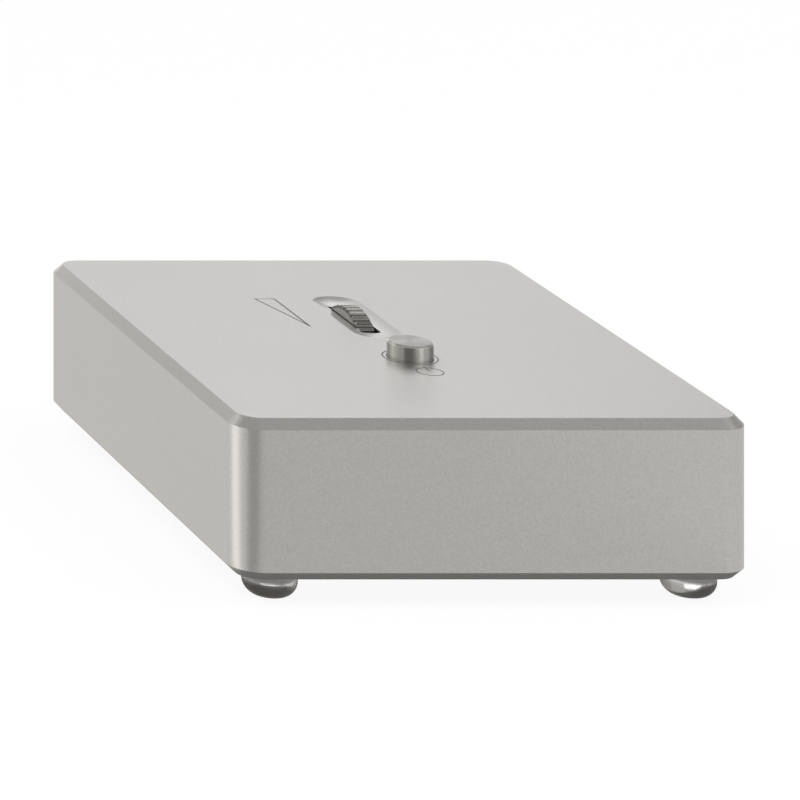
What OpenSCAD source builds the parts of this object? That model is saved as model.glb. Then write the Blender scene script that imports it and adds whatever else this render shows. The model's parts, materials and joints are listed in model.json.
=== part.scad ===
// Desktop phono preamplifier: one case milled from aluminium on four clear
// bumper feet, with a toothed volume wheel let into a finger dish, a turned
// power button, and a connector panel at the rear.
// Each module is drawn with x from the centre line, y from the case's front
// face and z from the floor; place() then centres the whole part on its box.

/* [Case] */
// Width of the case, side to side
case_w = 100; // [96:0.5:125]
// Depth of the case, front face to rear face
case_d = 115.5; // [110:0.5:150]
// Height of the case without its feet
case_h = 31.2; // [30.6:0.1:38]
// Radius of the four upright corners
corner_r = 6; // [4:0.25:6.5]
// Width of the 45 degree chamfer round the top and bottom edges
edge_c = 1.85; // [0.8:0.05:2.1]
// Thickness of the milled side walls
wall_t = 3.4; // [2.6:0.1:4]
// Thickness of the milled top
top_t = 3; // [2.2:0.1:3.6]
// Width of the bottom rim outside the base plate
rim_t = 2.2; // [1.9:0.1:2.5]
// Corner radius that the cutter leaves inside the case
pocket_r = 3; // [1.5:0.25:4]

/* [Finger dish and volume wheel] */
// Distance of the wheel's axle behind the front face
wheel_y = 72.8; // [66:0.1:78]
// Radius over the wheel's teeth
wheel_r = 14; // [12:0.1:14.6]
// Thickness of the wheel
wheel_t = 3.6; // [2.6:0.1:4.4]
// Height of the wheel's crown above the case top
wheel_proud = 1.4; // [0.8:0.1:2]
// Number of teeth round the rim
wheel_teeth = 48; // [36:1:54]
// Radius of the round groove between two teeth
tooth_cut_r = 0.55; // [0.4:0.05:0.6]
// Depth of the grooves
tooth_cut_depth = 0.45; // [0.3:0.05:0.5]
// Chamfer on the wheel's two rims
wheel_c = 0.3; // [0.1:0.05:0.5]
// Side gap between the wheel and the slot's walls
slot_gap = 0.2; // [0.15:0.05:0.6]
// Radial gap between the teeth and the rear end of the slot
slot_run = 0.45; // [0.35:0.05:1]
// Extra length that the slot has in front of the wheel
slot_ahead = 2; // [0:0.1:2.5]
// Width of the finger dish
dish_w = 9.7; // [9:0.1:13]
// Length of the finger dish
dish_l = 30.6; // [27:0.2:31]
// Distance of the dish's middle in front of the wheel's axle
dish_ahead = 2.1; // [0:0.1:2.2]
// Depth of the finger dish on its centre line
dish_depth = 1; // [0.8:0.05:1.5]
// Diameter of the wheel's hub
hub_d = 12; // [11:0.5:14]
// Length of the hub beside the wheel
hub_l = 5; // [4.4:0.1:6]
// Diameter of the set screw in the hub
set_screw_d = 3; // [2.5:0.25:3.5]
// How far the set screw is sunk in the hub
set_screw_sunk = 0.3; // [0.1:0.05:0.5]
// Width across corners of the set screw's hexagon socket
hex_d = 1.5; // [1.2:0.1:1.8]
// Depth of the hexagon socket
hex_depth = 0.9; // [0.6:0.1:1.4]

/* [Volume potentiometer] */
// Diameter of the potentiometer's shaft
shaft_d = 6; // [5:0.25:6.5]
// Diameter of the threaded bushing round the shaft
bushing_d = 9; // [8:0.25:11]
// Length of the bushing
bushing_l = 3; // [2:0.5:5]
// Diameter of the round can
pot_d = 16.6; // [14:0.2:18]
// Depth of the can along the shaft
pot_l = 8; // [6:0.5:10]
// Gap between the turning hub and the bushing
hub_gap = 0.5; // [0.3:0.1:1]
// How far the shaft reaches into the can
shaft_in = 4; // [2.5:0.5:5]

/* [Power button] */
// Distance of the button's axis behind the front face
button_y = 42.2; // [36:0.1:48]
// Diameter of the button
button_d = 8.86; // [8:0.02:10]
// Height of the button above the case top
button_proud = 3.3; // [2.8:0.1:4]
// Chamfer round the button's top
button_c = 0.37; // [0.2:0.01:0.6]
// Radial gap between the button and its hole
button_gap = 0.1; // [0.05:0.05:0.3]
// Travel of the button when pressed
button_travel = 2; // [1.2:0.1:2.4]
// Width of the flange that keeps the button in the case
flange_w = 1.2; // [0.8:0.1:1.6]
// Thickness of that flange
flange_t = 1; // [0.8:0.1:1.5]
// Diameter of the stem under the flange
stem_d = 5.6; // [5.2:0.1:6.4]

/* [Power switch] */
// Width and depth of the switch body
switch_w = 8.5; // [7.5:0.1:10]
// Height of the switch body on the board
switch_h = 8; // [6:0.1:9]
// Width of the square plunger
plunger_w = 3; // [2.6:0.1:3.4]
// Depth of the stem's socket on the plunger
socket_depth = 3.6; // [3:0.1:5]
// Depth of the plunger inside the switch body at rest
plunger_in = 2; // [1.5:0.1:2.5]

/* [Feet] */
// Diameter of a foot
foot_d = 10.4; // [9.4:0.1:12]
// Height of a foot
foot_h = 5; // [3.5:0.1:5.3]
// Radius that rounds a foot's lower edge
foot_round = 3.2; // [2:0.1:3.4]
// Distance of a front foot's axis from the side face
foot_x = 9.3; // [8.5:0.1:14]
// Distance of a rear foot's axis from the side face
foot_x_rear = 13; // [8.5:0.1:16]
// Distance of a foot's axis from the front or rear face
foot_y = 8.2; // [7.8:0.1:14]

/* [Base plate] */
// Thickness of the base plate
plate_t = 2; // [1.8:0.1:2.5]
// Gap between the base plate and the rim round it
plate_gap = 0.15; // [0.05:0.05:0.3]
// Distance of the base screws from the inner side wall
boss_in = 2.6; // [2.4:0.1:3.5]
// Distance of the base screws from the front and rear faces
boss_y = 29; // [24:0.5:34]
// Radius of the screw bosses inside the case
boss_r = 4; // [3.6:0.1:4.5]
// Diameter of the base screws
base_screw_d = 3; // [2.5:0.1:3.5]
// Length of the base screws under their heads
base_screw_l = 8; // [6:0.5:12]
// Diameter of the base screw heads
base_head_d = 5.4; // [5:0.1:5.6]
// Height of the base screw heads, sunk flush in the plate
base_head_h = 1.2; // [1:0.1:1.4]
// Width of the cross slots in all screw heads
cross_w = 0.8; // [0.6:0.05:1]
// Length of the cross slots
cross_l = 3; // [2.4:0.1:3.4]
// Depth of the cross slots
cross_depth = 0.6; // [0.4:0.05:0.8]

/* [Circuit board] */
// Thickness of the board
board_t = 1.6; // [1:0.1:2]
// Gap between the board and the inner walls
board_gap = 1; // [0.5:0.1:2]
// Height of the standoffs under the board
standoff_h = 3; // [2.6:0.1:3.4]
// Diameter of the standoffs
standoff_d = 6; // [5.2:0.1:7]
// Diameter of the spigots that hold them in the base plate
spigot_d = 4.2; // [3.6:0.1:4.4]
// Distance of the standoffs from the inner side wall
standoff_in = 11.6; // [10.6:0.1:15]
// Distance of the front standoffs behind the front face
standoff_front = 14; // [11:0.5:16]
// Distance of the rear standoffs in front of the rear face
standoff_rear = 25; // [22:0.5:28]
// Diameter of the board screws
board_screw_d = 2.5; // [2:0.1:3]
// Diameter of the board screw heads
board_head_d = 4.6; // [4.2:0.1:5.4]
// Height of the board screw heads
board_head_h = 1.5; // [1:0.1:2]
// How deep the board screws reach into the standoffs
board_screw_in = 2; // [1.5:0.1:2.4]
// Gap round the wheel where it dips through the board
board_slot_gap = 1.2; // [0.8:0.1:2]

/* [Parts on the board] */
// Diameter of the electrolytic capacitors
elco_d = 8; // [6:0.5:10]
// Height of the electrolytic capacitors
elco_h = 12; // [9:0.5:14]
// Spacing of the electrolytic capacitors
elco_pitch = 11; // [10.5:0.5:12]
// Distance of their first column from the screw bosses
elco_in = 8; // [6:0.5:9]
// Distance of their first row behind the front face
elco_y = 50.8; // [48:0.1:53]
// Width of the vent lines scored in their tops
vent_w = 0.4; // [0.2:0.05:0.6]
// Length of the vent lines
vent_l = 4; // [3:0.1:5]
// Depth of the vent lines
vent_depth = 0.3; // [0.1:0.05:0.5]
// Length of a film capacitor
film_l = 7.2; // [6:0.2:8]
// Width of a film capacitor
film_w = 4.5; // [3:0.1:5]
// Height of a film capacitor
film_h = 8; // [6:0.5:10]
// Spacing of the film capacitors
film_pitch = 10; // [9:0.5:11]
// Distance of their first column from the screw bosses
film_in = 8; // [6:0.5:9]
// Distance of their first row behind the front face
film_y = 24; // [20:0.5:26]
// Length of an amplifier chip
chip_l = 9.8; // [9:0.1:11]
// Width of an amplifier chip
chip_w = 6.4; // [6:0.1:7]
// Height of an amplifier chip
chip_h = 3.5; // [3:0.1:4]
// Spacing of the amplifier chips
chip_pitch = 15; // [13:0.5:16]
// Distance of their column from the screw bosses
chip_in = 9.8; // [8:0.1:11]
// Distance of the first chip behind the front face
chip_y = 27.2; // [25:0.1:30]
// Diameter of the notch that marks a chip's first pin
notch_d = 1.6; // [1:0.1:2]
// Depth of the notch
notch_depth = 0.3; // [0.1:0.05:0.5]
// Length of a chip resistor
resistor_l = 3.2; // [2:0.1:3.4]
// Width of a chip resistor
resistor_w = 1.6; // [1.2:0.1:2]
// Height of a chip resistor
resistor_h = 0.6; // [0.4:0.1:0.8]
// Spacing of the chip resistors
resistor_pitch = 5; // [4:0.25:6]
// Distance of their nearest column from the amplifier chips' column
resistor_in = 9; // [8:0.1:12]
// Distance of their first row behind the front face
resistor_y = 14; // [10:0.5:16]

/* [Rear panel] */
// Thickness of the rear panel
panel_t = 2; // [1.2:0.1:2.2]
// Gap between the panel and the window it sits in
panel_gap = 0.15; // [0.05:0.05:0.25]
// Width of the ledge behind the panel's edge
ledge_w = 2.5; // [1.5:0.1:3]
// Wall left above and below the window
window_margin = 3.6; // [3.2:0.1:4]
// Corner radius of the window
window_r = 3; // [2:0.25:4]
// Corner radius of the opening inside the ledge
opening_r = 0.8; // [0.5:0.1:1.1]
// Gap between the sockets' housings and the window's opening
opening_gap = 0.2; // [0.1:0.1:0.6]
// Diameter of the panel screws
panel_screw_d = 2.6; // [2:0.1:3]
// Diameter of the panel screw heads
panel_head_d = 4.4; // [4:0.1:5]
// Height of the panel screw heads
panel_head_h = 1.5; // [1:0.1:2]
// Length of the panel screws under their heads
panel_screw_l = 8; // [5:0.5:10]
// Height of the panel screws above the signal sockets' axes
panel_screw_up = 5.8; // [5.6:0.1:6.4]

/* [Signal sockets] */
// Spacing of the two sockets in a pair
jack_pitch = 13.5; // [12.6:0.1:14]
// Housing beside each socket's axis
jack_side = 6; // [5.8:0.1:6.4]
// Height of the sockets' axes above the board
jack_up = 9; // [8:0.1:9.6]
// Housing above the panel screws' axes
jack_over = 3; // [2:0.1:3.4]
// Depth of a housing behind the panel
jack_depth = 14; // [10:0.5:18]
// Outer diameter of the socket shells
jack_d = 8.3; // [8.1:0.1:8.5]
// Wall of the socket shells
jack_wall = 0.55; // [0.4:0.05:0.8]
// Outer diameter of the shells' foot inside the coloured rings
shank_d = 8.7; // [8.6:0.05:8.9]
// Reach of the shells beyond the rear face
jack_reach = 8.5; // [7:0.1:10]
// Width of the coloured ring beyond a shell's outer diameter
ring_w = 1.05; // [0.8:0.05:1.2]
// Height of the coloured ring above the panel
ring_h = 1.5; // [1:0.1:2.5]
// How far the insulating core stays behind the shell's mouth
core_back = 1.2; // [0.6:0.1:2]
// Bore of the centre contact
contact_bore = 3.3; // [3.2:0.05:3.4]
// Wall of the centre contact
contact_wall = 0.35; // [0.25:0.05:0.5]
// How far the contact stays behind the core's face
contact_back = 0.5; // [0.2:0.1:1]

/* [Power and headphone sockets] */
// Width of the two end sockets
end_w = 9; // [8.4:0.1:9.4]
// Depth of the two end sockets behind the panel
end_depth = 14; // [12:0.5:16]
// Height of their axes above the board
end_up = 6.5; // [5.5:0.1:8]
// Housing above their axes
end_over = 4.6; // [4.2:0.1:6]
// Gap between the end sockets and the signal sockets
end_gap = 0.6; // [0.3:0.1:1]
// Outer diameter of the power socket's mouth
power_mouth_d = 8; // [7.6:0.1:8.2]
// Bore of the power socket
power_bore = 6.3; // [6:0.1:6.6]
// Depth of the power socket
power_depth = 10; // [8:0.5:11]
// Diameter of the power socket's centre pin
power_pin_d = 2; // [1.6:0.1:2.5]
// How far the pin stays behind the socket's mouth
power_pin_back = 1.5; // [0.5:0.1:3]
// Outer diameter of the headphone socket's bushing
phone_bushing_d = 6; // [5.4:0.1:6.4]
// Bore of the headphone socket
phone_bore = 3.6; // [3.55:0.05:3.7]
// Depth of the headphone socket's bore
phone_depth = 15; // [14:0.5:16]
// Reach of the bushing beyond the rear face
phone_reach = 3.5; // [2.5:0.1:5]
// Width of the headphone nut over its round rim
phone_nut_d = 8.6; // [8:0.1:9]
// Height of the headphone nut
phone_nut_h = 2; // [1.5:0.1:2.4]
// Number of grooves round the headphone nut
phone_nut_grooves = 8; // [6:1:16]

/* [Ground post] */
// Width kept free between the two housings for the post
post_w = 10.4; // [10:0.1:11]
// Diameter of the post's stud
stud_d = 4; // [3:0.1:4.5]
// Diameter of the post's collars on both sides of the panel
collar_d = 8; // [7:0.1:9]
// Thickness of the collars
collar_t = 1.5; // [1:0.1:2]
// Diameter of the washer
washer_d = 8.4; // [7.5:0.1:9]
// Thickness of the washer
washer_t = 0.8; // [0.5:0.1:1.2]
// Diameter of the thumb nut
nut_d = 9; // [8:0.1:9.6]
// Length of the thumb nut
nut_l = 4.6; // [4:0.1:6]
// Chamfer at both ends of the thumb nut
nut_c = 0.4; // [0.2:0.05:0.6]
// Number of grooves round the thumb nut
nut_grooves = 24; // [16:1:28]
// Radius of those grooves
nut_cut_r = 0.4; // [0.3:0.05:0.45]
// Travel of the nut as it is unscrewed
nut_travel = 1.4; // [1:0.1:2]
// Stud left beyond the nut when it is fully out
stud_spare = 1; // [0.5:0.1:2]

/* [Fits] */
// Radial gap of a shaft that turns in its bore
run_gap = 0.05; // [0.03:0.01:0.1]
// Radial gap of pieces that are pushed or screwed together
push_gap = 0.03; // [0.02:0.01:0.06]
// Radial gap of a screw or bushing in a clearance hole
hole_gap = 0.15; // [0.1:0.05:0.3]
// Gap under the button's flange and stem at the ends of its travel
stop_gap = 0.3; // [0.2:0.05:0.5]

/* [Hidden] */
$fn = 96;
eps = 0.01;

silver = "#cbcbc9";
steel = "#b4b2ad";
black = "#26262a";
gold = "#c9a34a";

// Heights above the floor
case_z0 = foot_h;
case_z1 = case_z0 + case_h;
plate_z1 = case_z0 + plate_t;
board_z0 = plate_z1 + standoff_h;
board_z1 = board_z0 + board_t;
wheel_z = case_z1 + wheel_proud - wheel_r;
jack_z = board_z1 + jack_up;
end_z = board_z1 + end_up;
under_top = case_z1 - top_t;

// Places across the rear, out from the ground post on the centre line
jack_x_in = post_w / 2 + jack_side;
jack_x_out = jack_x_in + jack_pitch;
pair_x = (jack_x_in + jack_x_out) / 2;
pair_w = jack_pitch + 2 * jack_side;
housing_h = jack_up + panel_screw_up + jack_over;
end_x = jack_x_out + jack_side + end_gap + end_w / 2;
opening_w = 2 * (end_x + end_w / 2 + opening_gap);
window_w = opening_w + 2 * ledge_w;
window_h = case_h - 2 * window_margin;
window_z = case_z0 + case_h / 2;

// Places along the depth
panel_y = case_d - panel_t;
boss_x = case_w / 2 - wall_t - boss_in;
boss_ys = [boss_y, case_d - boss_y];
standoff_x = case_w / 2 - wall_t - standoff_in;
standoff_ys = [standoff_front, case_d - standoff_rear];

chip_x = boss_x - boss_r - chip_in;
resistor_x = chip_x - resistor_in - 2 * resistor_pitch;

// Wheel, hub and potentiometer along x
hub_x = wheel_t / 2 + hub_l;
bushing_x = hub_x + hub_gap;
can_x = bushing_x + bushing_l;

// Button and switch, upwards
switch_z1 = board_z1 + switch_h;
stem_z0 = switch_z1 + button_travel + stop_gap;
plunger_z1 = stem_z0 + socket_depth;
flange_z1 = under_top - stop_gap;
button_z1 = case_z1 + button_proud;

// Ground post, outwards from the rear face
washer_y = case_d + collar_t;
nut_y = washer_y + washer_t;
stud_end = nut_y + nut_l + nut_travel + stud_spare;

// The part's whole depth, and the shift that centres it on its box
rear_end = max(stud_end, case_d + jack_reach, case_d + phone_reach);
module place() {
    translate([0, -rear_end / 2, 0]) children();
}

// ---- shared shapes ----

// Box with upright rounded corners, centred in x, its front edge at y = 0
module rounded_slab(w, d, h, r) {
    translate([-w / 2 + r, 0, 0]) cube([w - 2 * r, d, h]);
    translate([-w / 2, r, 0]) cube([w, d - 2 * r, h]);
    for (x = [-w / 2 + r, w / 2 - r], y = [r, d - r])
        translate([x, y, 0]) cylinder(r = r, h = h);
}

// Upright plate with rounded corners, centred in x and z, from y = 0 to y = t
module rounded_panel(w, h, t, r) {
    translate([0, t, -h / 2]) rotate([90, 0, 0])
        linear_extrude(t) {
            translate([-w / 2 + r, 0]) square([w - 2 * r, h]);
            translate([-w / 2, r]) square([w, h - 2 * r]);
            for (x = [-w / 2 + r, w / 2 - r], z = [r, h - r])
                translate([x, z]) circle(r = r);
        }
}

// Outline of a section l long and h high with its four corners chamfered
module chamfered_outline(l, h, c) {
    polygon([
        [c, 0], [l - c, 0], [l, c], [l, h - c],
        [l - c, h], [c, h], [0, h - c], [0, c]
    ]);
}

// Block with rounded upright corners and a chamfer round its top and bottom
module chamfered_block(w, d, h, r, c) {
    translate([-w / 2, d - r, 0]) rotate([90, 0, 0])
        linear_extrude(d - 2 * r) chamfered_outline(w, h, c);
    translate([-w / 2 + r, 0, 0]) rotate([90, 0, 90])
        linear_extrude(w - 2 * r) chamfered_outline(d, h, c);
    for (x = [-w / 2 + r, w / 2 - r], y = [r, d - r])
        translate([x, y, 0]) rotate_extrude()
            polygon([[0, 0], [r - c, 0], [r, c], [r, h - c], [r - c, h], [0, h]]);
}

// Round bar along +y from y0 to y1 at the given x and z
module bar_y(x, z, y0, y1, d) {
    translate([x, y0, z]) rotate([-90, 0, 0]) cylinder(d = d, h = y1 - y0);
}

// Tube along +y
module tube_y(x, z, y0, y1, d_out, d_in) {
    difference() {
        bar_y(x, z, y0, y1, d_out);
        bar_y(x, z, y0 - eps, y1 + eps, d_in);
    }
}

// Round bar along +x through the wheel's axle
module bar_x(x0, x1, d) {
    translate([x0, wheel_y, wheel_z]) rotate([0, 90, 0]) cylinder(d = d, h = x1 - x0);
}

// Disc whose rim is chamfered at both ends and cut by n round grooves
module grooved_disc(r, h, c, n, cut_r, cut_depth) {
    difference() {
        rotate_extrude()
            polygon([[0, 0], [r - c, 0], [r, c], [r, h - c], [r - c, h], [0, h]]);
        for (i = [0 : n - 1])
            rotate([0, 0, i * 360 / n]) translate([r + cut_r - cut_depth, 0, -eps])
                cylinder(r = cut_r, h = h + 2 * eps, $fn = 24);
    }
}

// ---- case ----

// Concave finger dish: a round-nosed cutter's path along y
module finger_dish() {
    half_w = dish_w / 2;
    cutter_r = (half_w * half_w + dish_depth * dish_depth) / (2 * dish_depth);
    run = dish_l / 2 - half_w;
    translate([0, wheel_y - dish_ahead, case_z1 + cutter_r - dish_depth]) {
        rotate([90, 0, 0]) cylinder(r = cutter_r, h = 2 * run, center = true, $fn = 192);
        for (y = [-run, run])
            translate([0, y, 0]) rotate([90, 0, 0]) sphere(r = cutter_r, $fn = 192);
    }
}

// Slot round the wheel, cut by a disc that moves forward from the wheel's axle
module wheel_slot() {
    half_w = wheel_t / 2 + slot_gap;
    for (ahead = [0, slot_ahead])
        translate([0, -ahead, 0]) bar_x(-half_w, half_w, 2 * (wheel_r + slot_run));
}

// The pocket milled from below, less the screw bosses left standing in it
module case_pocket() {
    difference() {
        translate([0, wall_t, plate_z1 - eps])
            rounded_slab(case_w - 2 * wall_t, case_d - 2 * wall_t, under_top - plate_z1 + eps, pocket_r);
        for (x = [-boss_x, boss_x], y = boss_ys)
            translate([x, y, plate_z1]) cylinder(r = boss_r, h = under_top - plate_z1 + eps);
    }
    translate([0, rim_t, case_z0 - eps])
        rounded_slab(case_w - 2 * rim_t, case_d - 2 * rim_t, plate_t + eps, pocket_r);
}

// Window in the rear wall: a rebate for the panel and an opening through the
// ledge behind it, never lower than the two housings that pass it
module rear_window() {
    wall_y = case_d - wall_t - eps;
    through = wall_t - panel_t + 2 * eps;
    translate([0, panel_y, window_z])
        rounded_panel(window_w, window_h, panel_t + eps, window_r);
    translate([0, wall_y, window_z])
        rounded_panel(opening_w, window_h - 2 * ledge_w, through, opening_r);
    for (x = [-pair_x, pair_x])
        translate([x - pair_w / 2 - opening_gap, wall_y, board_z1])
            cube([pair_w + 2 * opening_gap, through, housing_h + opening_gap]);
}

module case_shell() {
    color(silver) place() difference() {
        translate([0, 0, case_z0]) chamfered_block(case_w, case_d, case_h, corner_r, edge_c);
        case_pocket();
        rear_window();
        finger_dish();
        intersection() {
            wheel_slot();
            translate([-case_w / 2, 0, under_top - eps]) cube([case_w, case_d, top_t + 2 * eps]);
        }
        translate([0, button_y, under_top - eps])
            cylinder(d = button_d + 2 * button_gap, h = top_t + 2 * eps);
        for (x = [-boss_x, boss_x], y = boss_ys)
            translate([x, y, plate_z1 - eps])
                cylinder(d = base_screw_d + 2 * push_gap, h = base_screw_l);
    }
}

module base_plate() {
    edge = rim_t + plate_gap;
    color(silver) place() difference() {
        translate([0, edge, case_z0])
            rounded_slab(case_w - 2 * edge, case_d - 2 * edge, plate_t, pocket_r - plate_gap);
        for (x = [-boss_x, boss_x], y = boss_ys) translate([x, y, case_z0 - eps]) {
            cylinder(d = base_screw_d + 2 * hole_gap, h = plate_t + 2 * eps);
            cylinder(d = base_head_d + 2 * hole_gap, h = base_head_h + eps);
        }
        for (x = [-standoff_x, standoff_x], y = standoff_ys)
            translate([x, y, case_z0 - eps])
                cylinder(d = spigot_d + 2 * push_gap, h = plate_t + 2 * eps);
    }
}

module rear_panel() {
    color(silver) place() difference() {
        translate([0, panel_y, window_z])
            rounded_panel(window_w - 2 * panel_gap, window_h - 2 * panel_gap, panel_t,
                window_r - panel_gap);
        for (x = [-jack_x_out, -jack_x_in, jack_x_in, jack_x_out])
            panel_hole(x, jack_z, jack_d + 2 * ring_w);
        for (x = [-pair_x, pair_x])
            panel_hole(x, jack_z + panel_screw_up, panel_screw_d);
        panel_hole(-end_x, end_z, power_mouth_d);
        panel_hole(end_x, end_z, phone_bushing_d);
        panel_hole(0, jack_z, stud_d);
    }
}

module panel_hole(x, z, d) {
    bar_y(x, z, panel_y - eps, case_d + eps, d + 2 * hole_gap);
}

// ---- screws, feet and standoffs ----

// Screw whose head stands on z = 0 and whose shank goes down, with a cross slot
module machine_screw(d, l, head_d, head_h) {
    translate([0, 0, -l]) cylinder(d = d, h = l + eps);
    difference() {
        cylinder(d = head_d, h = head_h);
        for (a = [0, 90])
            rotate([0, 0, a]) translate([-cross_l / 2, -cross_w / 2, head_h - cross_depth])
                cube([cross_l, cross_w, cross_depth + eps]);
    }
}

module base_screws() {
    color(steel) place()
        for (x = [-boss_x, boss_x], y = boss_ys)
            translate([x, y, case_z0 + base_head_h]) rotate([180, 0, 0])
                machine_screw(base_screw_d, base_screw_l, base_head_d, base_head_h);
}

module panel_screws() {
    color(black) place()
        for (x = [-pair_x, pair_x])
            translate([x, case_d, jack_z + panel_screw_up]) rotate([-90, 0, 0])
                machine_screw(panel_screw_d, panel_screw_l, panel_head_d, panel_head_h);
}

// Clear bumper: a round slab, well rounded below and flat where it stands
module foot(side, far) {
    x = side * (case_w / 2 - (far ? foot_x_rear : foot_x));
    y = far ? case_d - foot_y : foot_y;
    color("#8f8c86", 0.6) place() translate([x, y, 0]) rotate_extrude() intersection() {
        square([foot_d / 2, foot_h]);
        union() {
            translate([foot_d / 2 - foot_round, foot_round]) circle(r = foot_round);
            translate([0, foot_round]) square([foot_d / 2, foot_h - foot_round]);
            square([foot_d / 2 - foot_round, foot_round + eps]);
        }
    }
}

// Hexagon standoffs, each clinched into the base plate by a round spigot
module board_standoffs() {
    color(steel) place()
        for (x = [-standoff_x, standoff_x], y = standoff_ys)
            translate([x, y, plate_z1]) difference() {
                union() {
                    cylinder(d = standoff_d, h = standoff_h, $fn = 6);
                    translate([0, 0, -plate_t]) cylinder(d = spigot_d, h = plate_t + eps);
                }
                translate([0, 0, standoff_h - board_screw_in - stop_gap])
                    cylinder(d = board_screw_d + 2 * push_gap, h = standoff_h);
            }
}

module board_screws() {
    color(steel) place()
        for (x = [-standoff_x, standoff_x], y = standoff_ys)
            translate([x, y, board_z1])
                machine_screw(board_screw_d, board_t + board_screw_in, board_head_d, board_head_h);
}

// ---- circuit board and what is soldered to it ----

module circuit_board() {
    edge = wall_t + board_gap;
    wheel_drop = wheel_z - board_z1;
    dip = sqrt(max(0, wheel_r * wheel_r - wheel_drop * wheel_drop)) + board_slot_gap;
    dip_w = wheel_t + 2 * board_slot_gap;
    color("#1f5a38") place() difference() {
        translate([0, edge, board_z0])
            rounded_slab(case_w - 2 * edge, case_d - 2 * edge, board_t, pocket_r);
        for (x = [-boss_x, boss_x], y = boss_ys)
            translate([x, y, board_z0 - eps]) cylinder(r = boss_r + board_gap, h = board_t + 2 * eps);
        for (x = [-standoff_x, standoff_x], y = standoff_ys)
            translate([x, y, board_z0 - eps])
                cylinder(d = board_screw_d + 2 * hole_gap, h = board_t + 2 * eps);
        translate([-dip_w / 2, wheel_y - dip, board_z0 - eps])
            cube([dip_w, 2 * dip, board_t + 2 * eps]);
    }
}

// Rows and columns of one part, standing on the board from its first corner
module on_board(x, y, columns, rows, pitch_x, pitch_y) {
    for (i = [0 : columns - 1], j = [0 : rows - 1])
        translate([x + i * pitch_x, y + j * pitch_y, board_z1]) children();
}

module electrolytic_capacitors() {
    color("#20242c") place()
        on_board(-boss_x + boss_r + elco_in, elco_y, 2, 4, elco_pitch, elco_pitch)
            difference() {
                cylinder(d = elco_d, h = elco_h);
                for (a = [0, 60, 120])
                    rotate([0, 0, a]) translate([-vent_l / 2, -vent_w / 2, elco_h - vent_depth])
                        cube([vent_l, vent_w, vent_depth + eps]);
            }
}

module film_capacitors() {
    color("#b3302a") place()
        on_board(-boss_x + boss_r + film_in, film_y, 3, 2, film_pitch, film_pitch)
            translate([-film_l / 2, -film_w / 2, 0]) cube([film_l, film_w, film_h]);
}

module amplifier_chips() {
    color(black) place()
        on_board(chip_x, chip_y, 1, 3, chip_pitch, chip_pitch)
            translate([-chip_l / 2, -chip_w / 2, 0]) difference() {
                cube([chip_l, chip_w, chip_h]);
                translate([0, chip_w / 2, chip_h - notch_depth])
                    cylinder(d = notch_d, h = notch_depth + eps);
            }
}

module chip_resistors() {
    color("#3a3a3e") place()
        on_board(resistor_x, resistor_y, 3, 4, resistor_pitch, resistor_pitch)
            translate([-resistor_l / 2, -resistor_w / 2, 0]) cube([resistor_l, resistor_w, resistor_h]);
}

// ---- volume control ----

module volume_wheel() {
    half_t = wheel_t / 2;
    mid_x = half_t + hub_l / 2;
    color("#6a6863") place() difference() {
        union() {
            translate([-half_t, wheel_y, wheel_z]) rotate([0, 90, 0])
                grooved_disc(wheel_r, wheel_t, wheel_c, wheel_teeth, tooth_cut_r, tooth_cut_depth);
            bar_x(0, hub_x, hub_d);
        }
        bar_x(-half_t - eps, hub_x + eps, shaft_d + 2 * push_gap);
        translate([mid_x, wheel_y, wheel_z]) cylinder(d = set_screw_d + 2 * push_gap, h = hub_d);
    }
}

// Headless screw with a hexagon socket, through the hub onto the shaft
module wheel_set_screw() {
    mid_x = wheel_t / 2 + hub_l / 2;
    z0 = shaft_d / 2 + push_gap;
    color(black) place() translate([mid_x, wheel_y, wheel_z + z0]) difference() {
        cylinder(d = set_screw_d, h = hub_d / 2 - z0 - set_screw_sunk);
        translate([0, 0, hub_d / 2 - z0 - set_screw_sunk - hex_depth])
            cylinder(d = hex_d, h = hex_depth + eps, $fn = 6);
    }
}

module pot_shaft() {
    color(steel) place() bar_x(-wheel_t / 2, can_x + shaft_in, shaft_d);
}

module pot_body() {
    color("#9a9a94") place() difference() {
        union() {
            bar_x(bushing_x, can_x + eps, bushing_d);
            bar_x(can_x, can_x + pot_l, pot_d);
            translate([can_x, wheel_y - pot_d / 2, board_z1])
                cube([pot_l, pot_d, wheel_z - board_z1]);
        }
        bar_x(bushing_x - eps, can_x + shaft_in + stop_gap, shaft_d + 2 * run_gap);
    }
}

// ---- power button ----

module power_button() {
    r = button_d / 2;
    color(steel) place() translate([0, button_y, 0]) difference() {
        union() {
            translate([0, 0, flange_z1]) rotate_extrude()
                polygon([[0, -eps], [r, -eps], [r, button_z1 - flange_z1 - button_c],
                    [r - button_c, button_z1 - flange_z1], [0, button_z1 - flange_z1]]);
            translate([0, 0, flange_z1 - flange_t]) cylinder(d = button_d + 2 * flange_w, h = flange_t);
            translate([0, 0, stem_z0]) cylinder(d = stem_d, h = flange_z1 - stem_z0);
        }
        translate([-plunger_w / 2 - push_gap, -plunger_w / 2 - push_gap, stem_z0 - eps])
            cube([plunger_w + 2 * push_gap, plunger_w + 2 * push_gap, socket_depth + eps]);
    }
}

module switch_plunger() {
    color("#d8d6d0") place()
        translate([-plunger_w / 2, button_y - plunger_w / 2, switch_z1 - plunger_in])
            cube([plunger_w, plunger_w, plunger_z1 - switch_z1 + plunger_in]);
}

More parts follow.
